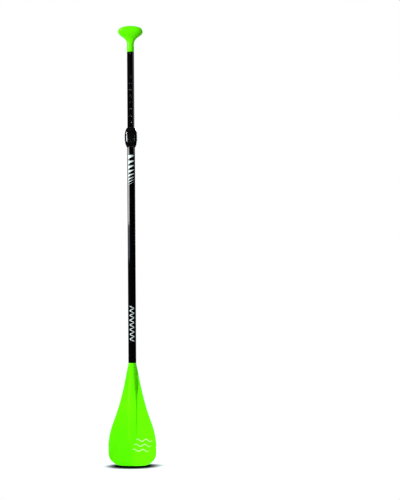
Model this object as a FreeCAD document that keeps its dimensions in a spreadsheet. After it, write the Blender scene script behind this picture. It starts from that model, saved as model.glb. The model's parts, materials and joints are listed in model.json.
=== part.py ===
import FreeCAD, Part
import math
import os
import Sketcher
from FreeCAD import Rotation, Vector

# Adjustable single blade paddle. The shaft stands along Z, the blade's width lies along X,
# and the front (blade rib, lever, adjustment holes) looks along -Y. The origin is on the
# shaft axis, halfway up the stretch between blade and clamp, where a rack clip holds it.

SIZES = [
    # alias, value in mm (or a count or degrees), what it is
    ("shaft_diameter", 31.0, "outside of the lower and middle tubes"),
    ("shaft_wall", 1.2, "wall of the lower and middle tubes"),
    ("lower_shaft_length", 852.0, "blade shoulder to foot of the clamp"),
    ("seam_rise", 252.0, "blade shoulder to the joint of the two lower tubes"),
    ("button_rise", 202.0, "blade shoulder to the snap button"),
    ("extension_diameter", 27.8, "outside of the upper tube"),
    ("extension_wall", 1.2, "wall of the upper tube"),
    ("extension_tail", 60.0, "last adjustment hole to the tube's lower end"),
    ("index_pitch", 25.4, "spacing of the adjustment holes"),
    ("index_holes", 19, "number of adjustment holes"),
    ("holes_above_pin", 9, "holes between lock pin and grip as set"),
    ("index_bore", 6.6, "diameter of an adjustment hole"),
    ("first_hole_drop", 99.4, "grip shoulder to the first hole"),
    ("overrun", 4.0, "how far cutting tools and merged ends reach past a face"),
    ("glue_gap", 0.05, "radial gap of glued and pressed seats"),
    ("slide_gap", 0.2, "radial gap of sliding seats"),
    ("screw_gap", 0.1, "radial gap round screws"),
    ("running_gap", 0.08, "radial gap of the lever on its pin"),
    ("clamp_height", 76.0, "height of the clamp"),
    ("clamp_width", 49.0, "widest across the clamp's cheeks"),
    ("clamp_front", 25.2, "axis to the clamp's front at mid height"),
    ("clamp_back", 17.0, "axis to the clamp's flat back"),
    ("clamp_lip", 1.1, "wall left round the tubes at the clamp's two ends"),
    ("clamp_corner", 12.0, "front corner radius in plan"),
    ("clamp_back_corner", 7.0, "back corner radius in plan"),
    ("shaft_end_drop", 36.0, "clamp top down to the middle tube's end"),
    ("lock_pin_drop", 27.0, "clamp top down to the lock pin"),
    ("lock_pin_diameter", 6.0, "lock pin"),
    ("lock_pin_cover", 2.6, "lever left in front of the lock pin's root"),
    ("lock_pin_rest", 0.3, "gap between the lock pin's nose and the upper tube"),
    ("lever_width", 25.2, "lever between the cheeks"),
    ("lever_side_gap", 0.4, "gap on each side of the lever"),
    ("lever_proud", 0.6, "lever's face stands out from the cheeks"),
    ("lever_back", 18.6, "axis to the lever's inner face"),
    ("lever_shin_rise", 16.0, "hinge up to where the lever's shin meets its swelling face"),
    ("lever_shin_cut", 0.4, "how far the shin's line passes in front of the swelling face"),
    ("lever_tip_drop", 4.5, "clamp top down to the lever's tip"),
    ("lever_tip_back", 16.9, "axis to the lever tip's inner edge"),
    ("sleeve_front", 17.4, "axis to the wall behind the lever"),
    ("hinge_drop", 54.0, "clamp top down to the lever's hinge"),
    ("hinge_front", 21.0, "axis forward to the lever's hinge"),
    ("hinge_pin_diameter", 3.5, "hinge pin"),
    ("hinge_pin_length", 34.0, "hinge pin, from cheek to cheek"),
    ("hinge_boss", 3.2, "radius of the lever's heel round the hinge pin"),
    ("chin_gap", 1.3, "gap between the lever's heel and the chin below it"),
    ("chin_depth", 6.2, "level part of the chin, forward from the middle tube"),
    ("chin_slope", 1.5, "fall of the chin towards the front"),
    ("ferrule_wall", 1.3, "wall of the inner sleeve"),
    ("ferrule_up", 45.0, "sleeve above the joint, glued"),
    ("ferrule_down", 85.0, "sleeve below the joint, pushed in"),
    ("plug_height", 20.0, "foam plug"),
    ("plug_bevel", 1.5, "bevelled rims of the foam plug"),
    ("button_diameter", 8.0, "snap button"),
    ("button_proud", 0.7, "button's dome stands out of the tube"),
    ("button_travel", 3.0, "push that frees the button from the outer tube"),
    ("button_flange", 5.2, "radius of the button's inner flange"),
    ("button_flange_height", 1.5, "thickness of that flange"),
    ("button_rest_gap", 0.3, "gap between the flange and the sleeve"),
    ("leaf_width", 8.0, "leaf spring, across"),
    ("leaf_thickness", 0.8, "leaf spring, through"),
    ("leaf_length", 42.0, "leaf spring, button to bend"),
    ("leaf_end_gap", 0.5, "room left behind the spring at full push"),
    ("leaf_foot_drop", 2.0, "button down to the foot of the spring's free leg"),
    ("notch_height", 14.4, "finger notch below the clamp's top"),
    ("notch_wall", 1.5, "wall between the finger notch and the sliding bore"),
    ("window_gap", 1.1, "gap round the lock pin in the collar"),
    ("window_lift", 0.6, "the pin's window sits this much above the pin"),
    ("rivet_diameter", 3.0, "rivet that holds the collar on the middle tube"),
    ("rivet_head", 6.0, "head of the rivet"),
    ("rivet_head_height", 0.9, "height of the rivet's head"),
    ("rivet_drop", 10.0, "middle tube's end down to the rivet"),
    ("guide_height", 12.0, "guide plug below the upper tube"),
    ("guide_spigot", 25.0, "guide plug inside the upper tube"),
    ("guide_wall", 3.0, "wall round the hollow in the guide plug's foot"),
    ("guide_bevel", 1.2, "bevelled rims of the guide plug"),
    ("grip_height", 102.0, "palm grip above the upper tube"),
    ("grip_width", 97.5, "palm grip, tip to tip"),
    ("grip_depth", 38.4, "palm grip, front to back"),
    ("grip_spigot", 45.0, "palm grip inside the upper tube"),
    ("grip_screw_drop", 7.0, "grip shoulder down to its screw"),
    ("grip_screw_head", 7.0, "grip screw's head diameter"),
    ("blade_length", 405.0, "shoulder to tip"),
    ("blade_width", 189.0, "widest across the blade"),
    ("blade_thickness", 4.2, "thickness of the blade, front to back"),
    ("blade_rake", 35.0, "how far the blade's middle lies in front of the axis at most"),
    ("blade_fold", 31.0, "how far the blade's sides fold forward at the tip"),
    ("blade_edge_round", 1.4, "rounding of the blade's two rims"),
    ("rib_height", 4.2, "rib above the blade's front face"),
    ("neck_step", 0.8, "the blade's web starts this far inside the neck's side"),
    ("blade_spigot", 65.0, "blade neck inside the lower tube"),
    ("blade_screw_rise", 22.4, "blade shoulder up to its screw"),
    ("blade_screw_head", 8.0, "blade screw's head diameter"),
    ("screw_head_height", 2.4, "height of a domed screw head"),
    ("screw_shank", 3.6, "diameter of a screw's shank"),
    ("screw_length", 12.0, "shank of a screw"),
    ("screw_end_gap", 1.0, "room past a screw's tip"),
]

doc = FreeCAD.newDocument("single_blade_paddle")
sheet = doc.addObject("Spreadsheet::Sheet", "sizes")
for row, (alias, size, note) in enumerate(SIZES, start=1):
    sheet.set(f"A{row}", alias)
    sheet.set(f"B{row}", str(size))
    sheet.set(f"C{row}", note)
    sheet.setAlias(f"B{row}", alias)
doc.recompute()

# Radii and levels that several pieces share, as expressions on the sheet.
SHAFT_R = "(sizes.shaft_diameter / 2)"
SHAFT_BORE_R = "(sizes.shaft_diameter / 2 - sizes.shaft_wall)"
EXT_R = "(sizes.extension_diameter / 2)"
EXT_BORE_R = "(sizes.extension_diameter / 2 - sizes.extension_wall)"
SHOULDER = "(-sizes.lower_shaft_length / 2)"
SEAM = f"({SHOULDER} + sizes.seam_rise)"
BUTTON = f"({SHOULDER} + sizes.button_rise)"
CLAMP_FOOT = "(sizes.lower_shaft_length / 2)"
CLAMP_TOP = f"({CLAMP_FOOT} + sizes.clamp_height)"
SHAFT_END = f"({CLAMP_TOP} - sizes.shaft_end_drop)"
RIVET = f"({SHAFT_END} - sizes.rivet_drop)"
LOCK_PIN = f"({CLAMP_TOP} - sizes.lock_pin_drop)"
HINGE = f"({CLAMP_TOP} - sizes.hinge_drop)"
FIRST_HOLE = f"({LOCK_PIN} + sizes.holes_above_pin * sizes.index_pitch)"
GRIP_SHOULDER = f"({FIRST_HOLE} + sizes.first_hole_drop)"
EXT_FOOT = f"({FIRST_HOLE} - (sizes.index_holes - 1) * sizes.index_pitch - sizes.extension_tail)"
FERRULE_R = f"({SHAFT_BORE_R} - sizes.glue_gap)"
FERRULE_BORE_R = f"({FERRULE_R} - sizes.ferrule_wall)"

TO_FRONT = Rotation(Vector(1, 0, 0), 90)
TO_BACK = Rotation(Vector(1, 0, 0), -90)
TO_SIDE = Rotation(Vector(0, 1, 0), 90)
UPRIGHT = Rotation()

parts = []


def value(expression):
    """The number that an expression on the sheet gives."""
    return float(sheet.evalExpression(expression))


def bind(thing, **expressions):
    """Tie properties to the sheet; a double underscore stands for a dot."""
    for name, expression in expressions.items():
        thing.setExpression(name.replace("__", "."), expression)
    return thing


def keep(thing, label):
    """Name a finished sub-part and put it on the list that is written out."""
    thing.Label = label
    parts.append(thing)
    return thing


def cylinder(name, radius, height, place, turn=UPRIGHT):
    """A cylinder whose foot is at place, given as three expressions."""
    rod = doc.addObject("Part::Cylinder", name)
    rod.Placement.Rotation = turn
    bind(rod, Radius=radius, Height=height, Placement__Base__x=place[0],
         Placement__Base__y=place[1], Placement__Base__z=place[2])
    return rod


def cut(name, base, tool):
    """Base less tool."""
    result = doc.addObject("Part::Cut", name)
    result.Base = base
    result.Tool = tool
    return result


def common(name, base, tool):
    """What base and tool share."""
    result = doc.addObject("Part::Common", name)
    result.Base = base
    result.Tool = tool
    return result


def fuse(name, pieces):
    """Several solids made one."""
    result = doc.addObject("Part::MultiFuse", name)
    result.Shapes = pieces
    return result


def shaped(name, shape):
    """A free-form solid as a document object."""
    thing = doc.addObject("Part::Feature", name)
    thing.Shape = shape
    thing.Placement = FreeCAD.Placement()
    return thing


def plane_of(body, role):
    """One of a body's own origin planes."""
    return [feature for feature in body.Origin.OriginFeatures if feature.Role == role][0]


def sketch_on(body, name, role, lift=None):
    """An empty sketch on an origin plane, raised along its normal by an expression."""
    sketch = body.newObject("Sketcher::SketchObject", name)
    sketch.AttachmentSupport = [(plane_of(body, role), "")]
    sketch.MapMode = "FlatFace"
    if lift:
        sketch.setExpression("AttachmentOffset.Base.z", lift)
    return sketch


def add_circle(sketch, radius, centre_height="0"):
    """A circle on the sketch's vertical axis, its radius and height tied to the sheet."""
    height = value(centre_height)
    circle = Part.Circle(Vector(0, height, 0), Vector(0, 0, 1), value(radius))
    index = sketch.addGeometry(circle, False)
    sketch.addConstraint(Sketcher.Constraint("DistanceX", -1, 1, index, 3, 0))
    rise = sketch.addConstraint(Sketcher.Constraint("DistanceY", -1, 1, index, 3, height))
    size = sketch.addConstraint(Sketcher.Constraint("Radius", index, value(radius)))
    sketch.setExpression(f"Constraints[{rise}]", centre_height)
    sketch.setExpression(f"Constraints[{size}]", radius)


def add_outline(sketch, corners):
    """A closed outline of straight lines, each corner tied to the sheet."""
    points = [Vector(value(across), value(up), 0) for across, up in corners]
    count = len(points)
    for index, point in enumerate(points):
        sketch.addGeometry(Part.LineSegment(point, points[(index + 1) % count]), False)
    for index in range(count):
        sketch.addConstraint(Sketcher.Constraint("Coincident", index, 2, (index + 1) % count, 1))
    for index, (across, up) in enumerate(corners):
        for kind, expression in (("DistanceX", across), ("DistanceY", up)):
            rule = Sketcher.Constraint(kind, -1, 1, index, 1, value(expression))
            place = sketch.addConstraint(rule)
            sketch.setExpression(f"Constraints[{place}]", expression)


def tube_body(name, outer, inner, foot, length):
    """A straight tube: a ring sketch at foot, padded upward by length."""
    body = doc.addObject("PartDesign::Body", name)
    ring = sketch_on(body, name + "_ring", "XY_Plane", foot)
    add_circle(ring, outer)
    add_circle(ring, inner)
    pad = body.newObject("PartDesign::Pad", name + "_pad")
    pad.Profile = ring
    bind(pad, Length=length)
    doc.recompute()
    return body


def turned_body(name, corners):
    """A solid turned about the shaft axis from half of its profile."""
    body = doc.addObject("PartDesign::Body", name)
    profile = sketch_on(body, name + "_profile", "XZ_Plane")
    add_outline(profile, corners)
    turn = body.newObject("PartDesign::Revolution", name + "_turn")
    turn.Profile = profile
    turn.ReferenceAxis = (profile, ["V_Axis"])
    turn.Angle = 360
    doc.recompute()
    return body


def pierce(body, name, radius, height, toward_front, depth):
    """Drill one wall of a tube at a height, toward the front or the back."""
    mark = sketch_on(body, name + "_mark", "XZ_Plane")
    add_circle(mark, radius, height)
    pocket = body.newObject("PartDesign::Pocket", name)
    pocket.Profile = mark
    pocket.Reversed = toward_front
    bind(pocket, Length=depth)
    doc.recompute()
    return pocket


def ring(half_width, power, quarter=4):
    """Round a flattened oval from its rear middle: x, and depth as a share from -1 to 1.

    Power 2 gives an ellipse and more gives a squarer section. The points are spaced evenly
    along each quarter of a section that is as deep as it is wide.
    """
    fine = 90
    shares = []
    for step in range(fine + 1):
        angle = math.pi / 2 * step / fine
        shares.append((abs(math.sin(angle)) ** (2 / power), abs(math.cos(angle)) ** (2 / power)))
    lengths = [0.0]
    for before, after in zip(shares, shares[1:]):
        lengths.append(lengths[-1] + math.dist(before, after))
    first = []
    for step in range(quarter):
        goal = lengths[-1] * step / quarter
        index = max(place for place in range(fine) if lengths[place] <= goal)
        part = (goal - lengths[index]) / (lengths[index + 1] - lengths[index])
        first.append([low + part * (high - low)
                      for low, high in zip(shares[index], shares[index + 1])])
    second = [(0.0 + aside, -rear) for rear, aside in first]
    half = [tuple(point) for point in first] + second
    whole = half + [(-aside, -rear) for aside, rear in half]
    return [(half_width * aside, rear) for aside, rear in whole]


def open_spline(points):
    """A smooth edge through the points."""
    curve = Part.BSplineCurve()
    curve.interpolate(points)
    return curve.toShape()


def skin_surface(rows, across, along, closed):
    """A smooth surface through rows of points, given its parameters in both directions."""
    lines = []
    for row in rows:
        line = Part.BSplineCurve()
        line.interpolate(Points=row, Parameters=across, PeriodicFlag=closed)
        lines.append(line)
    guides = []
    for column in zip(*(line.getPoles() for line in lines)):
        guide = Part.BSplineCurve()
        guide.interpolate(Points=list(column), Parameters=along)
        guides.append(guide)
    line = lines[0]
    guide = guides[0]
    surface = Part.BSplineSurface()
    surface.buildFromPolesMultsKnots(
        [guide.getPoles() for guide in guides],
        line.getMultiplicities(), guide.getMultiplicities(), line.getKnots(), guide.getKnots(),
        closed, False, line.Degree, guide.Degree)
    return surface.toShape()


def skin_solid(rows):
    """A solid whose side is a smooth skin through level rings of points, with flat ends."""
    across = [float(step) for step in range(len(rows[0]) + 1)]
    along = [0.0]
    for before, after in zip(rows, rows[1:]):
        steps = [start.distanceToPoint(end) for start, end in zip(before, after)]
        along.append(along[-1] + sum(steps) / len(steps))
    side = skin_surface(rows, across, along, True)
    ends = [Part.Face(Part.Wire(edge)) for edge in side.Edges if edge.isClosed()]
    shell = Part.Shell([side] + ends)
    shell.sewShape()
    solid = Part.Solid(shell)
    if solid.Volume < 0:
        solid.reverse()
    return solid


def smooth(rows, column, where):
    """Smooth curve through a table's column, read where its first column says."""
    last = len(rows) - 1
    left = max(index for index in range(last) if index == 0 or rows[index][0] <= where)
    before, start, end, after = (rows[min(max(left + step, 0), last)] for step in (-1, 0, 1, 2))
    span = end[0] - start[0]
    share = (where - start[0]) / span
    rise_in = (end[column] - before[column]) / (end[0] - before[0]) * span
    rise_out = (after[column] - start[column]) / (after[0] - start[0]) * span
    change = end[column] - start[column]
    bend = share * (1 - share) * ((1 - share) * (rise_in - change) - share * (rise_out - change))
    return start[column] + share * change + bend


# ---------------------------------------------------------------- blade

# Down the blade, as shares of its length: how far its middle lies in front of the axis
# (share of the rake) and how far its sides fold forward (share of the fold).
BLADE_STATIONS = [
    (0.00, 0.00, 0.00),
    (0.15, 0.00, 0.00),
    (0.23, 0.075, 0.00),
    (0.33, 0.51, 0.00),
    (0.375, 0.68, 0.04),
    (0.425, 0.805, 0.17),
    (0.475, 0.865, 0.28),
    (0.57, 0.955, 0.45),
    (0.665, 1.00, 0.56),
    (0.765, 0.88, 0.74),
    (0.86, 0.71, 0.89),
    (1.00, 0.49, 1.00),
    (1.03, 0.45, 1.02),
]

# Half of the blade's outline: share of the length, share of the half width.
BLADE_OUTLINE = [
    (0.05, 0.203),
    (0.20, 0.330),
    (0.35, 0.485),
    (0.50, 0.680),
    (0.62, 0.865),
    (0.74, 0.975),
    (0.85, 1.00),
    (0.915, 0.957),
    (0.955, 0.825),
    (0.985, 0.630),
    (0.997, 0.350),
    (1.00, 0.00),
]

# Down the neck and the rib it turns into, as shares of the blade's length: front, back and
# half width in shaft radii, squareness of the section, and share of the rib's height.
SPINE_STATIONS = [
    (0.00, 1.00, 1.00, 1.00, 2.0, 0.0),
    (0.05, 0.98, 0.98, 1.00, 2.0, 0.0),
    (0.10, 0.94, 0.94, 1.00, 2.0, 0.0),
    (0.18, 1.05, 0.78, 1.06, 2.2, 0.0),
    (0.23, 1.10, 0.30, 1.10, 2.4, 0.0),
    (0.30, 0.66, 0.08, 1.14, 2.8, 0.1),
    (0.375, 0.30, 0.05, 1.20, 3.2, 0.75),
    (0.43, 0.14, 0.05, 1.22, 3.4, 1.05),
    (0.52, 0.14, 0.05, 1.22, 3.4, 0.95),
    (0.64, 0.14, 0.05, 1.20, 3.3, 0.70),
    (0.74, 0.14, 0.05, 1.17, 3.1, 0.10),
    (0.83, 0.12, 0.05, 1.12, 2.8, -0.80),
]
SPINE_COUNT = 15

# The plate that the blade is cut from: its rows down the blade, how far they run past the tip,
# and its points across as shares of the half width.
SLAB_COUNT = 14
SLAB_END = 1.03
SLAB_ACROSS = (-1.1, -0.7, -0.4, -0.2, 0, 0.2, 0.4, 0.7, 1.1)

# Share of the half width over which the fold along the blade's middle is rounded.
FOLD_SOFTNESS = 0.15


def blade_lean(share_down):
    """How far the blade's middle surface lies in front of the axis."""
    return value("sizes.blade_rake") * smooth(BLADE_STATIONS, 1, share_down)


def blade_bend(share_down, across):
    """How far the blade's surface is folded forward at a distance from the middle."""
    fold = value("sizes.blade_fold") * smooth(BLADE_STATIONS, 2, share_down)
    aside = across / (value("sizes.blade_width") / 2)
    soft = FOLD_SOFTNESS
    return fold * (math.hypot(aside, soft) - soft) / (math.hypot(1, soft) - soft)


def blade_slab():
    """A folded plate, wider than the blade, that carries its front and back faces."""
    length = value("sizes.blade_length")
    half_width = value("sizes.blade_width") / 2
    thickness = value("sizes.blade_thickness")
    rows = []
    for step in range(SLAB_COUNT + 1):
        share_down = SLAB_END * step / SLAB_COUNT
        height = value(SHOULDER) - share_down * length
        row = []
        for aside in SLAB_ACROSS:
            across = aside * half_width
            ahead = blade_lean(share_down) + blade_bend(share_down, across)
            row.append(Vector(across, thickness / 2 - ahead, height))
        rows.append(row)
    across = [point.x - rows[0][0].x for point in rows[0]]
    along = [rows[0][0].z - row[0].z for row in rows]
    face = skin_surface(rows, across, along, False)
    return face.extrude(Vector(0, -thickness, 0))


def blade_prism():
    """The blade's outline as a block from well behind to well before the blade."""
    length = value("sizes.blade_length")
    half_width = value("sizes.blade_width") / 2
    shoulder = value(SHOULDER)
    deep = 4 * value("sizes.blade_rake") + value("sizes.shaft_diameter")
    neck = value(SHAFT_R) - value("sizes.neck_step")
    side = [(neck, 0.0)] + [(half_width * wide, length * down) for down, wide in BLADE_OUTLINE]
    right = [Vector(wide, deep / 2, shoulder - down) for wide, down in side]
    left = [Vector(-point.x, point.y, point.z) for point in reversed(right[:-1])]
    outline = Part.Wire([open_spline(right + left), Part.makeLine(left[-1], right[0])])
    return Part.Face(outline).extrude(Vector(0, -1.5 * deep, 0))


def spine_row(share_down):
    """Ring of the neck or rib: its back follows the blade's fold, its front is level."""
    radius = value(SHAFT_R)
    height = value(SHOULDER) - share_down * value("sizes.blade_length")
    front, back, wide, power, rib = (smooth(SPINE_STATIONS, column, share_down)
                                     for column in range(1, 6))
    lean = blade_lean(share_down)
    depth = front * radius + rib * value("sizes.rib_height")
    depth += blade_bend(share_down, wide * radius)
    row = []
    for across, share in ring(wide * radius, power):
        bend = blade_bend(share_down, across)
        deep = back * radius * share if share > 0 else (depth - bend) * share
        row.append(Vector(across, deep - bend - lean, height))
    return row


def blade_spine():
    """The round neck that becomes the raised rib on the blade's front."""
    end = SPINE_STATIONS[-1][0]
    return skin_solid([spine_row(end * step / SPINE_COUNT) for step in range(SPINE_COUNT + 1)])


def build_blade():
    """Blade, neck and spigot in one moulding, bored for its screw."""
    slab = shaped("blade_slab", blade_slab())
    prism = shaped("blade_prism", blade_prism())
    sharp = common("blade_sharp_plate", slab, prism)
    doc.recompute()
    rims = sorted(sharp.Shape.Edges, key=lambda edge: edge.Length)[-2:]
    plate = shaped("blade_plate", sharp.Shape.makeFillet(value("sizes.blade_edge_round"), rims))
    spine = shaped("blade_spine", blade_spine())
    spigot = cylinder("blade_spigot", f"({SHAFT_BORE_R} - sizes.glue_gap)",
                      "sizes.blade_spigot + sizes.overrun",
                      ("0", "0", f"{SHOULDER} - sizes.overrun"))
    whole = fuse("blade_whole", [plate, spine, spigot])
    bore = screw_bore("blade_screw_bore", f"({SHOULDER} + sizes.blade_screw_rise)",
                      SHAFT_R, TO_BACK)
    return keep(cut("blade", whole, bore), "blade")


# ---------------------------------------------------------------- screws

SCREW_HOLE_R = "(sizes.screw_shank / 2 + sizes.screw_gap)"
SCREW_DOME = 1.5            # radius of a screw's dome in radii of its head


def screw_bore(name, height, seat, turn):
    """Bore that clears a screw from its seat on a tube inward past its end."""
    outward = "1" if turn is TO_BACK else "-1"
    inner_end = f"({seat} - sizes.screw_length - sizes.screw_end_gap)"
    return cylinder(name, SCREW_HOLE_R, f"{seat} - {inner_end} + sizes.overrun",
                    ("0", f"{outward} * {inner_end}", height), turn)


def build_screw(label, head_diameter, seat, height, turn):
    """A domed screw whose head sits on a round tube."""
    outward = "1" if turn is TO_BACK else "-1"
    head_r = f"({head_diameter} / 2)"
    top = f"({seat} + sizes.screw_head_height)"
    bulge = f"({head_r} * {SCREW_DOME})"
    low = f"sqrt(({seat}) ^ 2 - {head_r} ^ 2)"
    head = cylinder(label + "_head", head_r, f"{top} - {low}",
                    ("0", f"{outward} * {low}", height), turn)
    ball = doc.addObject("Part::Sphere", label + "_ball")
    ball.Placement.Rotation = turn
    bind(ball, Radius=bulge, Placement__Base__z=height,
         Placement__Base__y=f"{outward} * ({top} - {bulge})")
    dome = common(label + "_dome", head, ball)
    barrel = cylinder(label + "_barrel", seat, f"2 * {head_diameter}",
                      ("0", "0", f"{height} - {head_diameter}"))
    seated = cut(label + "_seated", dome, barrel)
    shank = cylinder(label + "_shank", "sizes.screw_shank / 2",
                     "sizes.screw_length + sizes.screw_head_height / 4",
                     ("0", f"{outward} * ({seat} - sizes.screw_length)", height), turn)
    return keep(fuse(label, [seated, shank]), label)


# ---------------------------------------------------------------- tubes

def build_tubes():
    """The three aluminium tubes and the sleeve that joins the two lower ones."""
    half_gap = "sizes.glue_gap / 2"
    low_foot = f"({SHOULDER} + sizes.glue_gap)"
    lower = tube_body("blade_tube", SHAFT_R, SHAFT_BORE_R, low_foot,
                      f"{SEAM} - {half_gap} - {low_foot}")
    pierce(lower, "blade_tube_screw_hole", SCREW_HOLE_R,
           f"{SHOULDER} + sizes.blade_screw_rise", False, SHAFT_R)
    pierce(lower, "blade_tube_button_hole", "(sizes.button_diameter / 2 + sizes.slide_gap)",
           BUTTON, False, SHAFT_R)
    keep(lower, "blade_tube")

    middle_foot = f"({SEAM} + {half_gap})"
    middle = tube_body("middle_tube", SHAFT_R, SHAFT_BORE_R, middle_foot,
                       f"{SHAFT_END} - {middle_foot}")
    pierce(middle, "middle_tube_rivet_hole", "(sizes.rivet_diameter / 2 + sizes.glue_gap)",
           RIVET, True, SHAFT_R)
    keep(middle, "middle_tube")

    ferrule = tube_body("ferrule", FERRULE_R, FERRULE_BORE_R, f"{SEAM} - sizes.ferrule_down",
                        "sizes.ferrule_down + sizes.ferrule_up")
    pierce(ferrule, "ferrule_button_hole", "(sizes.button_diameter / 2 + sizes.slide_gap)",
           BUTTON, False, SHAFT_R)
    keep(ferrule, "ferrule")

    upper = tube_body("extension_tube", EXT_R, EXT_BORE_R, EXT_FOOT,
                      f"{GRIP_SHOULDER} - sizes.glue_gap - {EXT_FOOT}")
    pierce(upper, "extension_screw_hole", SCREW_HOLE_R,
           f"{GRIP_SHOULDER} - sizes.grip_screw_drop", True, EXT_R)
    first = pierce(upper, "extension_index_hole", "sizes.index_bore / 2", FIRST_HOLE, True, EXT_R)
    row = upper.newObject("PartDesign::LinearPattern", "extension_index_row")
    row.Originals = [first]
    row.Direction = (first.Profile[0], ["V_Axis"])
    row.Reversed = True
    bind(row, Length="(sizes.index_holes - 1) * sizes.index_pitch", Occurrences="sizes.index_holes")
    upper.Tip = row
    doc.recompute()
    keep(upper, "extension_tube")


def build_plugs():
    """Foam plug of the sleeve and guide plug of the upper tube, both turned."""
    plug_r = f"({FERRULE_BORE_R} - sizes.glue_gap)"
    plug_top = f"({SEAM} + sizes.ferrule_up)"
    plug_foot = f"({plug_top} - sizes.plug_height)"
    bevel = "sizes.plug_bevel"
    keep(turned_body("ferrule_plug", [
        ("0", plug_foot),
        (f"{plug_r} - {bevel}", plug_foot),
        (plug_r, f"{plug_foot} + {bevel}"),
        (plug_r, f"{plug_top} - {bevel}"),
        (f"{plug_r} - {bevel}", plug_top),
        ("0", plug_top),
    ]), "ferrule_plug")

    flange_r = f"({SHAFT_BORE_R} - sizes.slide_gap)"
    spigot_r = f"({EXT_BORE_R} - sizes.glue_gap)"
    flange_top = f"({EXT_FOOT} - sizes.glue_gap)"
    flange_foot = f"({flange_top} - sizes.guide_height)"
    hollow_r = f"({spigot_r} - sizes.guide_wall)"
    hollow_top = f"({flange_foot} + sizes.guide_height / 2)"
    spigot_top = f"({EXT_FOOT} + sizes.guide_spigot)"
    bevel = "sizes.guide_bevel"
    keep(turned_body("guide_plug", [
        ("0", hollow_top),
        (hollow_r, hollow_top),
        (hollow_r, flange_foot),
        (f"{flange_r} - {bevel}", flange_foot),
        (flange_r, f"{flange_foot} + {bevel}"),
        (flange_r, flange_top),
        (spigot_r, flange_top),
        (spigot_r, f"{spigot_top} - {bevel}"),
        (f"{spigot_r} - {bevel}", spigot_top),
        ("0", spigot_top),
    ]), "guide_plug")


# ---------------------------------------------------------------- snap button

BUTTON_DOME = 3             # radius of the button's dome in radii of the button


def build_button():
    """The snap button with its flange, and the bent leaf spring behind it."""
    radius = "(sizes.button_diameter / 2)"
    face = f"(sqrt({FERRULE_BORE_R} ^ 2 - sizes.button_flange ^ 2) - sizes.button_rest_gap)"
    flange_inner = f"({face} - sizes.button_flange_height)"
    flange = cylinder("button_flange", "sizes.button_flange", "sizes.button_flange_height",
                      ("0", flange_inner, BUTTON), TO_BACK)
    stem = cylinder("button_stem", radius, f"{SHAFT_R} + sizes.button_proud - {flange_inner}",
                    ("0", flange_inner, BUTTON), TO_BACK)
    dome = f"({BUTTON_DOME} * {radius})"
    ball = doc.addObject("Part::Sphere", "button_ball")
    ball.Placement.Rotation = TO_BACK
    bind(ball, Radius=dome, Placement__Base__z=BUTTON,
         Placement__Base__y=f"{SHAFT_R} + sizes.button_proud - {dome}")
    whole = fuse("button_whole", [flange, stem])
    keep(common("snap_button", whole, ball), "snap_button")

    leaf = doc.addObject("PartDesign::Body", "button_spring")
    outline = sketch_on(leaf, "button_spring_outline", "YZ_Plane", "-sizes.leaf_width / 2")
    bend = f"({BUTTON} + sizes.leaf_length)"
    thick = "sizes.leaf_thickness"
    wall = f"sqrt({FERRULE_BORE_R} ^ 2 - sizes.leaf_width ^ 2 / 4)"
    front = f"(sizes.button_travel + sizes.leaf_end_gap - {wall})"
    free_foot = f"({BUTTON} - sizes.leaf_foot_drop)"
    add_outline(outline, [
        (flange_inner, f"{BUTTON} - sizes.button_flange"),
        (flange_inner, f"{BUTTON} + sizes.button_flange"),
        (thick, bend),
        (f"-{thick}", bend),
        (front, free_foot),
        (f"{front} + {thick}", free_foot),
        ("0", f"{bend} - 3 * {thick}"),
        (f"{flange_inner} - {thick}", f"{BUTTON} + sizes.button_flange"),
        (f"{flange_inner} - {thick}", f"{BUTTON} - sizes.button_flange"),
    ])
    pad = leaf.newObject("PartDesign::Pad", "button_spring_pad")
    pad.Profile = outline
    bind(pad, Length="sizes.leaf_width")
    doc.recompute()
    keep(leaf, "button_spring")


# ---------------------------------------------------------------- clamp

CLAMP_FULLNESS = 2.6        # power of the clamp's swelling outline; 2 is a plain bow
CLAMP_STEPS = 5             # outlines from the clamp's middle to each end


def clamp_wire(share_up, proud):
    """Rounded outline of the clamp in plan; share_up runs from -1 at the foot to 1."""
    swell = 1 - abs(share_up) ** CLAMP_FULLNESS
    end = value(SHAFT_R) + value("sizes.clamp_lip")
    wide = end + (value("sizes.clamp_width") / 2 - end) * swell
    front = end + (value("sizes.clamp_front") - end) * swell + proud
    back = value("sizes.clamp_back")
    front_r = value("sizes.clamp_corner")
    back_r = value("sizes.clamp_back_corner")
    height = value(CLAMP_FOOT) + value("sizes.clamp_height") * (share_up + 1) / 2
    corners = [(1, 1, back, back_r), (-1, 1, back, back_r),
               (-1, -1, front, front_r), (1, -1, front, front_r)]
    arcs = []
    for right, rear, deep, radius in corners:
        centre = Vector(right * (wide - radius), rear * (deep - radius), height)
        turn = math.atan2(rear, right)
        ends = [centre + Vector(radius * math.cos(turn + side), radius * math.sin(turn + side), 0)
                for side in (-math.pi / 4, 0, math.pi / 4)]
        arcs.append(ends)
    edges = []
    for index, ends in enumerate(arcs):
        edges.append(Part.Arc(*ends).toShape())
        edges.append(Part.makeLine(ends[2], arcs[(index + 1) % 4][0]))
    return Part.Wire(edges)


def clamp_swell(proud):
    """The clamp's swelling outside as one solid."""
    wires = [clamp_wire(step / CLAMP_STEPS, proud) for step in range(-CLAMP_STEPS, CLAMP_STEPS + 1)]
    return Part.makeLoft(wires, True, False)


def side_block(name, corners, half_width):
    """A block across the clamp whose side outline is given as (y, z) expressions."""
    points = [Vector(-half_width, value(y), value(z)) for y, z in corners]
    wire = Part.makePolygon(points + [points[0]])
    return shaped(name, Part.Face(wire).extrude(Vector(2 * half_width, 0, 0)))


NOTCH_FOOT = f"({CLAMP_TOP} - sizes.notch_height)"
CHIN = f"({HINGE} - sizes.hinge_boss - sizes.chin_gap)"


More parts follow.
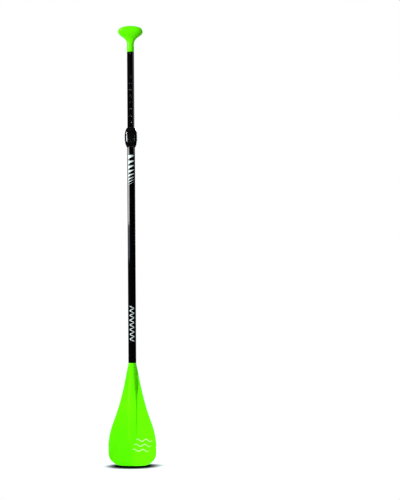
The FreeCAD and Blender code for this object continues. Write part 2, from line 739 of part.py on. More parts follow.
def build_collar():
    """The collar: swelling outside, two bores, slot for the lever, window for the pin."""
    outside = shaped("collar_outside", clamp_swell(0))
    bore_r = f"({EXT_R} + sizes.slide_gap)"
    below = f"({CLAMP_FOOT} - sizes.overrun)"
    slide = cylinder("collar_slide_bore", bore_r, "sizes.clamp_height + 2 * sizes.overrun",
                     ("0", "0", below))
    seat = cylinder("collar_seat_bore", f"({SHAFT_R} + sizes.glue_gap)",
                    f"{SHAFT_END} + sizes.glue_gap - {below}", ("0", "0", below))
    half_slot = value("sizes.lever_width / 2 + sizes.lever_side_gap")
    deep = "(-2 * sizes.clamp_front)"
    floor = "(-sizes.sleeve_front)"
    notch = f"(-{bore_r} - sizes.notch_wall)"
    slot = side_block("collar_slot", [
        (floor, CHIN),
        (floor, NOTCH_FOOT),
        (notch, f"{NOTCH_FOOT} + sizes.notch_wall"),
        (notch, f"{CLAMP_TOP} + sizes.overrun"),
        (deep, f"{CLAMP_TOP} + sizes.overrun"),
        (deep, f"{CHIN} - sizes.chin_slope"),
        (f"-{SHAFT_R} - sizes.chin_depth", CHIN),
    ], half_slot)
    window = cylinder("collar_window", "(sizes.lock_pin_diameter / 2 + sizes.window_gap)",
                      "sizes.clamp_front", ("0", "0", f"{LOCK_PIN} + sizes.window_lift"), TO_FRONT)
    hinge = cylinder("collar_hinge_bore", "(sizes.hinge_pin_diameter / 2 + sizes.glue_gap)",
                     "sizes.clamp_width", ("-sizes.clamp_width / 2", "-sizes.hinge_front", HINGE),
                     TO_SIDE)
    rivet = cylinder("collar_rivet_bore", "(sizes.rivet_diameter / 2 + sizes.glue_gap)",
                     "sizes.clamp_front", ("0", "0", RIVET), TO_FRONT)
    tools = fuse("collar_tools", [slide, seat, slot, window, hinge, rivet])
    keep(cut("clamp_collar", outside, tools), "clamp_collar")

    keep(cylinder("lever_pin", "sizes.hinge_pin_diameter / 2", "sizes.hinge_pin_length",
                  ("-sizes.hinge_pin_length / 2", "-sizes.hinge_front", HINGE), TO_SIDE),
         "lever_pin")

    shank = cylinder("rivet_shank", "sizes.rivet_diameter / 2",
                     f"sizes.sleeve_front + sizes.rivet_head_height / 3 - {SHAFT_BORE_R}",
                     ("0", f"-{SHAFT_BORE_R}", RIVET), TO_FRONT)
    head = cylinder("rivet_head", "sizes.rivet_head / 2", "sizes.rivet_head_height",
                    ("0", "-sizes.sleeve_front", RIVET), TO_FRONT)
    keep(fuse("collar_rivet", [shank, head]), "collar_rivet")


def build_lever():
    """The lever between the cheeks and the lock pin fixed in it."""
    skin = shaped("lever_skin", clamp_swell(value("sizes.lever_proud")))
    tip = f"({CLAMP_TOP} - sizes.lever_tip_drop)"
    inner = "(-sizes.lever_back)"
    heel = "(-sizes.hinge_front - sizes.hinge_boss)"
    shin = "(-sizes.clamp_front - sizes.lever_proud - sizes.lever_shin_cut)"
    shin_top = f"({HINGE} + sizes.lever_shin_rise)"
    far = "(-2 * sizes.clamp_front)"
    side = side_block("lever_side", [
        (heel, HINGE),
        (shin, shin_top),
        (far, shin_top),
        (far, tip),
        ("-sizes.lever_tip_back", tip),
        (inner, NOTCH_FOOT),
        (inner, HINGE),
    ], value("sizes.lever_width / 2"))
    boss = cylinder("lever_boss", "sizes.hinge_boss", "sizes.lever_width",
                    ("-sizes.lever_width / 2", "-sizes.hinge_front", HINGE), TO_SIDE)
    whole = common("lever_whole", skin, fuse("lever_block", [side, boss]))
    hinge = cylinder("lever_hinge_bore", "(sizes.hinge_pin_diameter / 2 + sizes.running_gap)",
                     "sizes.clamp_width", ("-sizes.clamp_width / 2", "-sizes.hinge_front", HINGE),
                     TO_SIDE)
    pin_r = "(sizes.lock_pin_diameter / 2)"
    nose = f"({EXT_R} + sizes.lock_pin_rest)"
    root = "(sizes.clamp_front - sizes.lock_pin_cover)"
    socket = cylinder("lever_socket", f"({pin_r} + sizes.glue_gap)", f"{root} - {nose}",
                      ("0", f"-{nose}", LOCK_PIN), TO_FRONT)
    keep(cut("clamp_lever", whole, fuse("lever_tools", [hinge, socket])), "clamp_lever")
    keep(cylinder("lock_pin", pin_r, f"{root} - {nose} - 2 * sizes.glue_gap",
                  ("0", f"-{nose}", LOCK_PIN), TO_FRONT), "lock_pin")


# ---------------------------------------------------------------- grip

# Up the grip, in shares of its height: half width (share of half the grip's width),
# front and back (shares of half its depth), and squareness.
GRIP_STATIONS = [
    (0.12, 0.295, 0.71, 0.68, 2.0),
    (0.255, 0.288, 0.615, 0.625, 2.0),
    (0.375, 0.305, 0.51, 0.575, 2.0),
    (0.47, 0.411, 0.48, 0.475, 2.1),
    (0.56, 0.621, 0.645, 0.655, 2.2),
    (0.65, 0.868, 0.855, 0.865, 2.3),
    (0.745, 1.0, 1.03, 0.95, 2.4),
    (0.83, 0.989, 1.10, 0.895, 2.4),
    (0.91, 0.86, 1.06, 0.68, 2.3),
    (0.965, 0.60, 0.89, 0.38, 2.2),
    (0.99, 0.36, 0.64, 0.12, 2.0),
    (0.999, 0.12, 0.36, -0.16, 2.0),
]


def grip_shape():
    """The palm grip above the tube, a skin that flares from round neck to wide bulb."""
    foot = value(GRIP_SHOULDER)
    tall = value("sizes.grip_height")
    half_width = value("sizes.grip_width") / 2
    half_depth = value("sizes.grip_depth") / 2
    radius = value(EXT_R)
    rows = [[Vector(x, share * radius, foot) for x, share in ring(radius, 2)]]
    for share_up, wide, front, back, power in GRIP_STATIONS:
        row = []
        for x, share in ring(wide * half_width, power):
            middle = (back - front) / 2
            y = (middle + share * (back + front) / 2) * half_depth
            row.append(Vector(x, y, foot + share_up * tall))
        rows.append(row)
    return skin_solid(rows)


def build_grip():
    """The palm grip with its spigot, bored for its screw."""
    bulb = shaped("grip_bulb", grip_shape())
    spigot = cylinder("grip_spigot", f"({EXT_BORE_R} - sizes.glue_gap)",
                      "sizes.grip_spigot + sizes.overrun",
                      ("0", "0", f"{GRIP_SHOULDER} - sizes.grip_spigot"))
    whole = fuse("grip_whole", [bulb, spigot])
    bore = screw_bore("grip_screw_bore", f"({GRIP_SHOULDER} - sizes.grip_screw_drop)",
                      EXT_R, TO_FRONT)
    keep(cut("palm_grip", whole, bore), "palm_grip")


# ---------------------------------------------------------------- all together

build_blade()
build_screw("blade_screw", "sizes.blade_screw_head", SHAFT_R,
            f"({SHOULDER} + sizes.blade_screw_rise)", TO_BACK)
build_tubes()
build_plugs()
build_button()
build_collar()
build_lever()
build_grip()
build_screw("grip_screw", "sizes.grip_screw_head", EXT_R,
            f"({GRIP_SHOULDER} - sizes.grip_screw_drop)", TO_FRONT)
doc.recompute()

for thing in doc.Objects:
    if "Invalid" in thing.State or "Error" in thing.State:
        raise RuntimeError(f"{thing.Label} is in state {thing.State}")
for thing in parts:
    if thing.Shape.isNull() or not thing.Shape.isValid():
        raise RuntimeError(f"{thing.Label} has no sound shape")

os.makedirs("parts", exist_ok=True)
for thing in parts:
    thing.Shape.exportStep(f"parts/{thing.Label}.step")
    print(thing.Label, len(thing.Shape.Solids), round(thing.Shape.Volume, 1), thing.Shape.BoundBox)
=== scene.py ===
import json
import math

import bmesh
import bpy
from mathutils import Matrix, Vector
from mathutils.bvhtree import BVHTree


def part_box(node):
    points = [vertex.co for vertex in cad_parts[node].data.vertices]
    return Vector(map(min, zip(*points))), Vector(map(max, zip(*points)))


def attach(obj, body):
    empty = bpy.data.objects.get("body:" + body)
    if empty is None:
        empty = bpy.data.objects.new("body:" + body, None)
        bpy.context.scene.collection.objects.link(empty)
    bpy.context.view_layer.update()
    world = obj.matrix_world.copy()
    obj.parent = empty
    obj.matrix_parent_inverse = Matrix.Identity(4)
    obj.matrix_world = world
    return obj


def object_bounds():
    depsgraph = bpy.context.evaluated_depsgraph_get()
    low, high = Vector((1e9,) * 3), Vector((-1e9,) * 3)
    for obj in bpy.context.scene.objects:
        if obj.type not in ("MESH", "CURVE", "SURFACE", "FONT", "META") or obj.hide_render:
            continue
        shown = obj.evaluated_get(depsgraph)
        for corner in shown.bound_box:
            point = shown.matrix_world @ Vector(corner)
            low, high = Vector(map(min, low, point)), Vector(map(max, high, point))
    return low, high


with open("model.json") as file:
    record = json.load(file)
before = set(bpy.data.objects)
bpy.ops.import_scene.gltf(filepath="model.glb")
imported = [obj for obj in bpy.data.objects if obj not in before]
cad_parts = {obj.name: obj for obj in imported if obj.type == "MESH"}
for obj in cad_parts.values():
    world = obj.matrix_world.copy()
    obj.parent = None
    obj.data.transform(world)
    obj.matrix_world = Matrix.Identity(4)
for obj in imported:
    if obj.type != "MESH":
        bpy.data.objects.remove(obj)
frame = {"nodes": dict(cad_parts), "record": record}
cad_low, cad_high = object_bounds()
nodes = frame["nodes"]
scene = bpy.context.scene

# ---------------------------------------------------------------- camera
CAMERA_DISTANCE = 8.0
CAMERA_RIGHT = 0.2700       # the paddle stands left of the picture's middle
CAMERA_HEIGHT = 0.0185
CAMERA_LENS = 145.8
CAMERA_SENSOR = 36.0
CAMERA_ROLL = math.radians(0.34)


def make_camera():
    data = bpy.data.cameras.new("studio_camera")
    data.lens = CAMERA_LENS
    data.sensor_width = CAMERA_SENSOR
    data.clip_start = 0.1
    data.clip_end = 60.0
    camera = bpy.data.objects.new("studio_camera", data)
    scene.collection.objects.link(camera)
    level = Matrix.Rotation(math.radians(90), 4, "X")
    roll = Matrix.Rotation(-CAMERA_ROLL, 4, "Z")
    place = Matrix.Translation((CAMERA_RIGHT, -CAMERA_DISTANCE, CAMERA_HEIGHT))
    camera.matrix_world = place @ level @ roll
    scene.camera = camera


# ---------------------------------------------------------------- node helpers
MIX_FACTOR, MIX_FIRST, MIX_SECOND, MIX_RESULT = 0, 6, 7, 2      # sockets of a Mix node for colours


class Tree:
    """The node tree of a material or the world, with short calls for adding and joining nodes."""

    def __init__(self, owner, shader):
        owner.use_nodes = True
        self.owner = owner
        self.nodes = owner.node_tree.nodes
        self.links = owner.node_tree.links
        self.shader = self.nodes[shader]

    def add(self, kind, values=None, **settings):
        made = self.nodes.new("ShaderNode" + kind)
        for key, value in settings.items():
            setattr(made, key, value)
        for key, value in (values or {}).items():
            made.inputs[key].default_value = value
        return made

    def feed(self, socket, value):
        """Joins an output to an input socket, or gives the socket a number or colour."""
        if isinstance(value, bpy.types.NodeSocket):
            self.links.new(value, socket)
        elif isinstance(value, tuple) and len(value) == 3 and socket.type == "RGBA":
            socket.default_value = (*value, 1.0)
        else:
            socket.default_value = value

    def shade(self, inputs):
        """Feeds the shader's own inputs by name."""
        for name, value in inputs.items():
            self.feed(self.shader.inputs[name], value)

    def place(self, scale, turn=(0, 0, 0)):
        """Object coordinates in metres, turned and stretched by a scale on each axis."""
        coordinates = self.add("TexCoord")
        mapping = self.add("Mapping", {"Scale": scale, "Rotation": turn})
        self.feed(mapping.inputs["Vector"], coordinates.outputs["Object"])
        return mapping.outputs["Vector"]

    def noise(self, scale, detail=3.0, roughness=0.5, stretch=(1, 1, 1), turn=(0, 0, 0)):
        made = self.add("TexNoise", {"Scale": scale, "Detail": detail, "Roughness": roughness})
        self.feed(made.inputs["Vector"], self.place(stretch, turn))
        return made.outputs["Fac"]

    def spread(self, source, low, high, start=0.3, end=0.7, **settings):
        """A number that runs from low to high as the source runs from start to end."""
        made = self.add("MapRange", {"From Min": start, "From Max": end, "To Min": low, "To Max": high},
                        **settings)
        self.feed(made.inputs["Value"], source)
        return made.outputs["Result"]

    def blend(self, factor, first, second):
        """A colour between two colours or colour outputs."""
        made = self.add("Mix", data_type="RGBA")
        self.feed(made.inputs[MIX_FACTOR], factor)
        self.feed(made.inputs[MIX_FIRST], first)
        self.feed(made.inputs[MIX_SECOND], second)
        return made.outputs[MIX_RESULT]

    def combine(self, how, *values):
        """A number worked out of one or two numbers or outputs."""
        made = self.add("Math", operation=how)
        for socket, value in zip(made.inputs, values):
            self.feed(socket, value)
        return made.outputs["Value"]

    def bump(self, height, distance, strength=1.0, below=None):
        """A normal that follows a height, laid over the normal below it."""
        made = self.add("Bump", {"Distance": distance, "Strength": strength})
        self.feed(made.inputs["Height"], height)
        if below is not None:
            self.feed(made.inputs["Normal"], below)
        return made.outputs["Normal"]


def material_tree(name):
    return Tree(bpy.data.materials.new(name), "Principled BSDF")


# ---------------------------------------------------------------- materials
LIME_BRIGHT = (0.125, 0.96, 0.0010)
LIME_DEEP = (0.106, 0.90, 0.0008)
LIME_SCUFF = (0.22, 0.93, 0.08)
LIME_GLANCE = (0.25, 1.0, 0.02)         # tint of its reflections
LIME_BLEED = (0.4, 1.0, 0.1)            # how far each colour spreads under the skin, as shares
LACQUER_DARK = (0.0003, 0.0003, 0.0005)
LACQUER_LIGHT = (0.0013, 0.0014, 0.0018)
LACQUER_RUBBED = (0.03, 0.03, 0.033)
MOULDED_DARK = (0.0012, 0.0012, 0.0016)
MOULDED_LIGHT = (0.0040, 0.0040, 0.0046)
MOULDED_MARKED = (0.04, 0.04, 0.045)
FOAM_FACE = (0.32, 0.32, 0.33)
FOAM_WALL = (0.15, 0.15, 0.16)
LINE_STRETCH = (1.0, 1.0, 0.03)         # draws noise out into long upright lines
LINE_WIDTH = 0.006                      # how near to its middle value the noise makes a line


def scratches(tree, scale, lean, amount):
    """Long thin lines where drawn-out noise crosses its middle value, in patches.

    The result is the amount on a line and 0 elsewhere. Lean is in degrees.
    """
    lines = tree.noise(scale, 0.0, 0.5, LINE_STRETCH, (0.0, math.radians(lean), 0.0))
    distance = tree.combine("ABSOLUTE", tree.combine("SUBTRACT", lines, 0.5))
    thin = tree.spread(distance, 1.0, 0.0, 0.0, LINE_WIDTH)
    patches = tree.spread(tree.noise(scale * 0.2, 2.0), 0.0, amount, 0.55, 0.70)
    return tree.combine("MULTIPLY", thin, patches)


def roughened(tree, gloss, marks, amount):
    """A roughness that rises by the amount where the marks lie."""
    return tree.combine("ADD", gloss, tree.combine("MULTIPLY", marks, amount))


def lime_plastic(name, roughness, grain, polish):
    """Bright injection-moulded nylon: soft colour drift, a fine moulded grain and light scuffs.

    Polish is the weight of the smooth moulded skin over it.
    """
    tree = material_tree(name)
    drift = tree.spread(tree.noise(14.0), 0.0, 1.0)
    marks = scratches(tree, 170.0, 28.0, 0.30)
    gloss = tree.spread(tree.noise(38.0, 4.0), roughness - 0.05, roughness + 0.07)
    waves = tree.bump(tree.noise(26.0, 2.0), 0.0006, 0.25)
    tree.shade({
        "Base Color": tree.blend(marks, tree.blend(drift, LIME_DEEP, LIME_BRIGHT), LIME_SCUFF),
        "Roughness": roughened(tree, gloss, marks, 0.25),
        "Normal": tree.bump(tree.noise(grain, 3.0, 0.6), 0.00008, 0.35, waves),
        "Specular IOR Level": 0.28,
        "Specular Tint": LIME_GLANCE,
        "Coat Weight": polish,
        "Coat Roughness": 0.24,
        "Subsurface Weight": 0.10,
        "Subsurface Radius": LIME_BLEED,
        "Subsurface Scale": 0.003,
    })
    return tree.owner


def coated_tube(name):
    """Black lacquered tube: long drawn lines under the lacquer, slight orange peel, faint rub marks."""
    tree = material_tree(name)
    drawn = tree.noise(700.0, 3.0, 0.6, (1.0, 1.0, 0.008))
    tone = tree.spread(drawn, 0.0, 1.0, 0.35, 0.65)
    marks = scratches(tree, 260.0, 4.0, 0.25)
    gloss = tree.spread(tree.noise(24.0, 4.0, 0.6, (1.0, 1.0, 0.35)), 0.09, 0.13)
    peel = tree.bump(tree.noise(260.0, 2.0), 0.00003, 0.04)
    tree.shade({
        "Base Color": tree.blend(marks, tree.blend(tone, LACQUER_DARK, LACQUER_LIGHT), LACQUER_RUBBED),
        "Roughness": roughened(tree, gloss, marks, 0.3),
        "Normal": tree.bump(drawn, 0.00002, 0.03, peel),
        "Specular IOR Level": 0.32,
    })
    return tree.owner


def moulded_black(name, roughness, grain, edge):
    """Black moulding with softened edges, gentle sink waves and small handling marks."""
    tree = material_tree(name)
    tone = tree.spread(tree.noise(60.0), 0.0, 1.0)
    marks = scratches(tree, 240.0, -20.0, 0.30)
    gloss = tree.spread(tree.noise(70.0, 4.0), roughness - 0.03, roughness + 0.05)
    softened = tree.add("Bevel", {"Radius": edge}, samples=6)
    waves = tree.bump(tree.noise(55.0, 1.0), 0.0004, 0.08, softened.outputs["Normal"])
    tree.shade({
        "Base Color": tree.blend(marks, tree.blend(tone, MOULDED_DARK, MOULDED_LIGHT), MOULDED_MARKED),
        "Roughness": roughened(tree, gloss, marks, 0.3),
        "Normal": tree.bump(tree.noise(grain, 2.0), 0.00005, 0.12, waves),
    })
    return tree.owner


def worked_metal(name, light, dark, roughness, scale, stretch):
    """Bare metal with the tool lines that turning or drawing leaves."""
    tree = material_tree(name)
    lines = tree.noise(scale, 4.0, 0.65, stretch)
    tree.shade({
        "Base Color": tree.blend(tree.spread(lines, 0.0, 1.0), dark, light),
        "Metallic": 1.0,
        "Roughness": tree.spread(lines, roughness - 0.07, roughness + 0.10),
        "Normal": tree.bump(lines, 0.00003, 0.5),
    })
    return tree.owner


def foam(name):
    """Closed-cell foam: small round cells with darker walls."""
    tree = material_tree(name)
    cells = tree.add("TexVoronoi", {"Scale": 900.0})
    tree.feed(cells.inputs["Vector"], tree.place((1, 1, 1)))
    depth = tree.spread(cells.outputs["Distance"], 0.0, 1.0, 0.1, 0.7)
    tree.shade({
        "Base Color": tree.blend(depth, FOAM_FACE, FOAM_WALL),
        "Roughness": tree.spread(depth, 0.95, 0.75, 0.0, 1.0),
        "Normal": tree.bump(depth, 0.0003, 0.8),
    })
    return tree.owner


def printed(name, light, dark):
    """Screen-printed ink: even colour with tiny pinholes and a matt grain."""
    tree = material_tree(name)
    worn = tree.spread(tree.noise(1400.0, 3.0, 0.6), 0.0, 1.0, 0.30, 0.42)
    tree.shade({
        "Base Color": tree.blend(worn, dark, light),
        "Roughness": tree.spread(tree.noise(300.0), 0.35, 0.5),
        "Normal": tree.bump(worn, 0.00002, 0.3),
    })
    return tree.owner


MATERIALS = {
    "lime_moulding": lime_plastic("lime_moulding_finish", 0.40, 1500.0, 0.0),
    "lime_grip": lime_plastic("lime_grip_finish", 0.42, 1900.0, 0.08),
    "black_tube": coated_tube("black_tube_finish"),
    "clamp_black": moulded_black("clamp_black_finish", 0.12, 1500.0, 0.0012),
    "lever_black": moulded_black("lever_black_finish", 0.13, 1700.0, 0.0009),
    "bare_aluminium": worked_metal("bare_aluminium_finish", (0.80, 0.81, 0.82), (0.62, 0.63, 0.65),
                                   0.32, 700.0, (0.05, 0.05, 1.0)),
    "stainless": worked_metal("stainless_finish", (0.86, 0.85, 0.84), (0.72, 0.71, 0.70),
                              0.26, 2600.0, (0.04, 1.0, 1.0)),
    "black_screw": worked_metal("black_screw_finish", (0.060, 0.060, 0.065), (0.030, 0.030, 0.033),
                                0.34, 2600.0, (0.05, 1.0, 1.0)),
    "grey_foam": foam("grey_foam_finish"),
    "black_nylon": moulded_black("black_nylon_finish", 0.42, 2200.0, 0.0004),
}
INK = printed("white_ink", (0.64, 0.76, 0.76), (0.34, 0.42, 0.42))
PALE_INK = printed("pale_ink", (0.70, 0.93, 0.42), (0.42, 0.90, 0.16))


def dress_nodes():
    for part in frame["record"]["subparts"]:
        for holder in nodes[part["node"]].material_slots:
            holder.material = MATERIALS[part["material_slot"]]


# ---------------------------------------------------------------- mesh helpers
def mesh_piece(name, build, material, body):
    """Builds a mesh object and lets it ride on a body."""
    made = bmesh.new()
    build(made)
    data = bpy.data.meshes.new(name)
    made.to_mesh(data)
    made.free()
    data.materials.append(material)
    for face in data.polygons:
        face.use_smooth = True
    piece = bpy.data.objects.new(name, data)
    scene.collection.objects.link(piece)
    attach(piece, body)


def grid(made, rows):
    """Joins rows of points into a sheet of quads."""
    kept = [[made.verts.new(point) for point in row] for row in rows]
    for upper, lower in zip(kept, kept[1:]):
        for i in range(len(upper) - 1):
            made.faces.new((upper[i], upper[i + 1], lower[i + 1], lower[i]))


def tube_radius(node):
    low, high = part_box(node)
    return (high.x - low.x) / 2


# ---------------------------------------------------------------- printed marks on the tubes
FRONT, BACK = -1, 1
INK_LIFT = 0.00006              # the ink lies this far above the surface
BAR_STEPS = 16
FRONT_BARS_DROP = 0.026         # clamp's foot down to the top of the top bar
BACK_BARS_DROP = 0.022
BAR_HEIGHT = 0.0150             # height of the top bar's left end
BAR_THINNER = 0.0019            # what each bar's height loses against the bar above it
BAR_LAST_HEIGHT = 0.0015        # the bars stop before their height falls to this
BAR_GAP = 0.0072
BAR_HALF_ARC = math.radians(45)
BAR_SLANT = 0.0060              # rise from a bar's middle to its right end
BAR_TAPER = 0.30                # height at the right end as a share of that at the left end
TICKS_DROP = 0.033              # joint of the lower tubes down to the foot of the top tick
TICK_COUNT = 15
TICK_PITCH = 0.0093
TICK_HEIGHT = 0.0030
TICK_HALF_ARC = math.radians(34)
TICK_SLANT = 0.0042


def bar_on_tube(made, radius, foot, height, half_arc, slant, facing, taper=1.0):
    """A slanted bar printed round a tube, from its left end to its right end as seen from the front."""
    rows = []
    for level in (0.0, 0.5, 1.0):
        row = []
        for i in range(BAR_STEPS + 1):
            share = 2.0 * i / BAR_STEPS - 1.0
            angle = share * half_arc
            tall = height * (1.0 - (1.0 - taper) * i / BAR_STEPS)
            z = foot + level * tall + slant * share
            row.append((radius * math.sin(angle), facing * radius * math.cos(angle), z))
        rows.append(row)
    grid(made, rows)


def fading_bars(made, radius, top, facing):
    """Bold slanted bars that get thinner downwards."""
    height = BAR_HEIGHT
    while height > BAR_LAST_HEIGHT:
        bar_on_tube(made, radius, top - height, height, BAR_HALF_ARC, BAR_SLANT, facing, BAR_TAPER)
        top -= height + BAR_GAP
        height -= BAR_THINNER


def zigzag(made, radius, top):
    """A band of thin ticks on the front that lean to alternate sides."""
    for i in range(TICK_COUNT):
        slant = TICK_SLANT if i % 2 else -TICK_SLANT
        bar_on_tube(made, radius, top - i * TICK_PITCH, TICK_HEIGHT, TICK_HALF_ARC, slant, FRONT)


def make_markings():
    middle = tube_radius("middle_tube") + INK_LIFT
    lower = tube_radius("blade_tube") + INK_LIFT
    clamp_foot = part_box("clamp_collar")[0].z
    joint = (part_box("middle_tube")[0].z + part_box("blade_tube")[1].z) / 2

    def front_bars(made):
        fading_bars(made, middle, clamp_foot - FRONT_BARS_DROP, FRONT)

    def back_bars(made):
        fading_bars(made, middle, clamp_foot - BACK_BARS_DROP, BACK)

    def front_ticks(made):
        zigzag(made, lower, joint - TICKS_DROP)

    mesh_piece("front_bars", front_bars, INK, "shaft")
    mesh_piece("back_bars", back_bars, INK, "shaft")
    mesh_piece("front_ticks", front_ticks, INK, "shaft")


# ---------------------------------------------------------------- bright rims of the index holes
SMALLEST_HOLE = 0.0025          # radii between which a hole counts as an index hole
LARGEST_HOLE = 0.0045
HOLE_SPACE = 0.006              # a wider step between edge points is the space between two holes
ON_TUBE = 0.0001                # edge points lie this near to the tube's outside
RIM_STEPS = 40
# From the hole's edge outwards, each row's reach beyond that edge and its height over the tube.
RIM_PROFILE = ((-0.00005, -0.00012), (0.00015, 0.00008), (0.00050, 0.00008))


def hole_places(radius):
    """Height and radius of each index hole in the front of the extension tube."""
    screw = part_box("grip_screw")[0].z
    edge = []
    for vertex in nodes["extension_tube"].data.vertices:
        x, y, z = vertex.co
        outside = abs(math.hypot(x, y) - radius) < ON_TUBE
        if outside and y < 0 and z < screw and abs(x) < LARGEST_HOLE:
            edge.append(z)
    edge.sort()
    groups = [[edge[0]]]
    for z in edge[1:]:
        if z - groups[-1][-1] > HOLE_SPACE:
            groups.append([])
        groups[-1].append(z)
    spans = [((group[0] + group[-1]) / 2, (group[-1] - group[0]) / 2) for group in groups]
    return [(middle, hole) for middle, hole in spans if SMALLEST_HOLE < hole < LARGEST_HOLE]


def rim_ring(made, radius, z_middle, hole):
    """A narrow bright chamfer round a hole, lying on the tube."""
    rows = []
    for beyond, lift in RIM_PROFILE:
        reach = hole + beyond
        row = []
        for i in range(RIM_STEPS + 1):
            angle = 2.0 * math.pi * i / RIM_STEPS
            x = reach * math.cos(angle)
            y = -math.sqrt((radius + lift) ** 2 - x * x)
            row.append((x, y, z_middle + reach * math.sin(angle)))
        rows.append(row)
    grid(made, rows)


def make_rims():
    radius = tube_radius("extension_tube")

    def build(made):
        for z_middle, hole in hole_places(radius):
            rim_ring(made, radius, z_middle, hole)

    mesh_piece("index_hole_rims", build, MATERIALS["bare_aluminium"], "extension")


# ---------------------------------------------------------------- waves on the blade
# Left end, right end and height above the blade's foot of each wave.
RIPPLES = ((0.012, 0.078, 0.103), (0.004, 0.074, 0.083), (-0.002, 0.066, 0.063))
RIPPLE_STEPS = 48
RIPPLE_SWING = 0.0042           # height of a crest over the wave's middle line
RIPPLE_WIDTH = 0.0026           # at its widest
RIPPLE_TURNS = 2.0              # crests of a wave
RIPPLE_BLUNTNESS = 0.4          # below 1, the ends narrow late
RIPPLE_LIFT = 1.5 * INK_LIFT
BEFORE_BLADE = -1.0             # where the rays that find the blade's front start


def ripple_rows(surface, x_start, x_end, z_middle):
    """The upper and lower edge of one wavy line laid on the blade's front."""
    rows = [[], []]
    for i in range(RIPPLE_STEPS + 1):
        share = i / RIPPLE_STEPS
        x = x_start + share * (x_end - x_start)
        z = z_middle + RIPPLE_SWING * math.sin(share * 2.0 * math.pi * RIPPLE_TURNS)
        swell = math.sin(math.pi * share) ** RIPPLE_BLUNTNESS if 0.0 < share < 1.0 else 0.0
        for row, side in zip(rows, (0.5, -0.5)):
            start = Vector((x, BEFORE_BLADE, z + side * RIPPLE_WIDTH * swell))
            hit = surface.ray_cast(start, Vector((0, 1, 0)))[0]
            row.append(hit - Vector((0, RIPPLE_LIFT, 0)))
    return rows


def make_ripples():
    """Three thin water-line waves near the blade's lower edge."""
    blade = nodes["blade"].data
    surface = BVHTree.FromPolygons([v.co.copy() for v in blade.vertices],
                                   [tuple(p.vertices) for p in blade.polygons])
    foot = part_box("blade")[0].z

    def build(made):
        for x_start, x_end, rise in RIPPLES:
            grid(made, ripple_rows(surface, x_start, x_end, foot + rise))

    mesh_piece("blade_ripples", build, PALE_INK, "shaft")


# ---------------------------------------------------------------- lamps
TUBES = ("blade_tube", "middle_tube", "extension_tube")
CLAMP = ("clamp_collar", "clamp_lever")
WHITE_LIGHT = (1.0, 1.0, 1.0)
COOL_LIGHT = (0.90, 0.97, 1.0)
BLUE_LIGHT = (0.80, 0.90, 1.0)
VIOLET_LIGHT = (0.84, 0.82, 1.0)


def lamp(name, place, aim, width, height, watts, colour=WHITE_LIGHT, mirrored_by=()):
    """A soft rectangular lamp, or a card that only shows in the gloss of some nodes."""
    data = bpy.data.lights.new(name, "AREA")
    data.shape = "RECTANGLE"
    data.size = width
    data.size_y = height
    data.energy = watts
    data.color = colour
    made = bpy.data.objects.new(name, data)
    made.location = place
    made.rotation_mode = "QUATERNION"
    made.rotation_quaternion = (Vector(aim) - Vector(place)).to_track_quat("-Z", "Y")
    made.visible_camera = False
    if mirrored_by:
        made.visible_diffuse = False
        mirrors = bpy.data.collections.new(name + "_mirrors")
        for node in mirrored_by:
            mirrors.objects.link(nodes[node])
        made.light_linking.receiver_collection = mirrors
    scene.collection.objects.link(made)


def make_lamps():
    lamp("key_left", (-5.9, -4.6, 3.6), (0.0, 0.0, 0.0), 1.7, 1.7, 890.0)
    lamp("fill_back", (2.6, 6.0, 2.6), (0.0, 0.0, 0.0), 1.6, 1.6, 240.0)
    lamp("card_left", (-0.56, -0.05, 0.295), (0.0, -0.02, 0.295), 0.60, 0.33, 8.6, WHITE_LIGHT, TUBES)
    lamp("card_low", (-0.56, -0.05, 0.055), (0.0, -0.02, 0.055), 0.60, 0.15, 0.8, BLUE_LIGHT, TUBES)
    lamp("card_right", (0.56, 0.10, 0.70), (0.0, 0.0, 0.70), 0.50, 0.55, 1.6, VIOLET_LIGHT, TUBES)
    lamp("card_clamp", (-0.32, -0.40, 0.43), (0.0, -0.02, 0.46), 0.17, 0.24, 5.2, COOL_LIGHT, CLAMP)
    lamp("card_back", (0.34, 0.42, 0.43), (0.0, 0.0, 0.46), 0.07, 0.24, 0.8, COOL_LIGHT, CLAMP)


# ---------------------------------------------------------------- floor
FLOOR_RADIUS = 0.8
FLOOR_SIDES = 96
# Bluish pales: for the camera they tint the soft edge of the painted contact shadow blue, and elsewhere
# the floor comes out white.
FLOOR_COLOUR = (0.82, 0.83, 0.90)
FLOOR_GLOW = 0.50               # brings the floor up to white for the camera
FLOOR_GLOW_COLOUR = (0.84, 0.86, 1.0)
TOUCHING = 0.006                # the blade's points this near to the floor stand over the shadow
SHADOW_COLOUR = (0.0, 0.001, 0.001)
SHADOW_WIDE = 0.158             # reach of the soft contact shadow, across and through
SHADOW_DEEP = 0.165
SHADOW_CORE = 0.38              # share of that reach that is fully dark


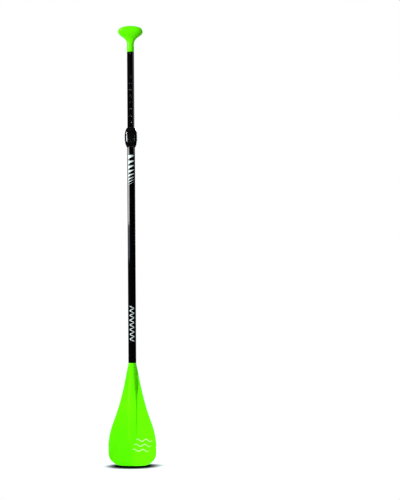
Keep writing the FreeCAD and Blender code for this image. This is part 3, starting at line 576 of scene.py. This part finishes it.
def floor_finish():
    """A matt pale floor; only the camera sees its painted contact shadow and its glow."""
    tree = material_tree("studio_floor_finish")
    reach = tree.add("VectorMath", operation="LENGTH")
    tree.feed(reach.inputs[0], tree.place((1 / SHADOW_WIDE, 1 / SHADOW_DEEP, 1.0)))
    clear = tree.spread(reach.outputs["Value"], 0.0, 1.0, SHADOW_CORE, 1.0,
                        interpolation_type="SMOOTHERSTEP")
    seen = tree.add("LightPath").outputs["Is Camera Ray"]
    pale = tree.combine("MAXIMUM", clear, tree.combine("SUBTRACT", 1.0, seen))
    glow = tree.combine("MULTIPLY", seen, tree.combine("MULTIPLY", clear, FLOOR_GLOW))
    tree.shade({
        "Base Color": tree.blend(pale, SHADOW_COLOUR, FLOOR_COLOUR),
        "Roughness": 0.9,
        "Specular IOR Level": 0.0,
        "Emission Strength": glow,
        "Emission Color": FLOOR_GLOW_COLOUR,
    })
    return tree.owner


def make_floor():
    foot = cad_low.z
    touching = [v.co.y for v in nodes["blade"].data.vertices if v.co.z < foot + TOUCHING]
    made = bmesh.new()
    bmesh.ops.create_circle(made, cap_ends=True, segments=FLOOR_SIDES, radius=FLOOR_RADIUS)
    data = bpy.data.meshes.new("studio_floor")
    made.to_mesh(data)
    made.free()
    data.materials.append(floor_finish())
    floor = bpy.data.objects.new("studio_floor", data)
    floor.location = (0.0, sum(touching) / len(touching), foot)
    scene.collection.objects.link(floor)


# ---------------------------------------------------------------- world
# Strengths before the object and behind it, and the backward parts of a direction between which
# the first gives way to the second.
AMBIENT_FRONT, AMBIENT_BACK, AMBIENT_TURN = 0.38, 1.05, (-0.1, 0.5)
GLOSS_FRONT, GLOSS_BACK, GLOSS_TURN = 0.012, 0.14, (0.86, 0.99)


def make_world():
    """White for the camera and through glass; glosses mirror a dark room and a dim backdrop."""
    world = bpy.data.worlds.new("studio_world")
    scene.world = world
    tree = Tree(world, "Background")
    split = tree.add("SeparateXYZ")
    tree.feed(split.inputs["Vector"], tree.add("TexCoord").outputs["Generated"])
    backward = split.outputs["Y"]
    path = tree.add("LightPath").outputs
    seen = tree.combine("MAXIMUM", path["Is Camera Ray"], path["Is Transmission Ray"])
    mirrored = path["Is Glossy Ray"]
    plain = tree.combine("SUBTRACT", 1.0, tree.combine("MAXIMUM", seen, mirrored))
    gloss = tree.spread(backward, GLOSS_FRONT, GLOSS_BACK, *GLOSS_TURN)
    ambient = tree.spread(backward, AMBIENT_FRONT, AMBIENT_BACK, *AMBIENT_TURN)
    bright = tree.combine("MAXIMUM", seen, tree.combine("MULTIPLY", mirrored, gloss))
    light = tree.combine("MULTIPLY", plain, ambient)
    tree.shade({
        "Color": (1.0, 1.0, 1.0),
        "Strength": tree.combine("ADD", bright, light),
    })


make_camera()
dress_nodes()
make_markings()
make_rims()
make_ripples()
make_floor()
make_lamps()
make_world()
scene.view_settings.view_transform = "Standard"
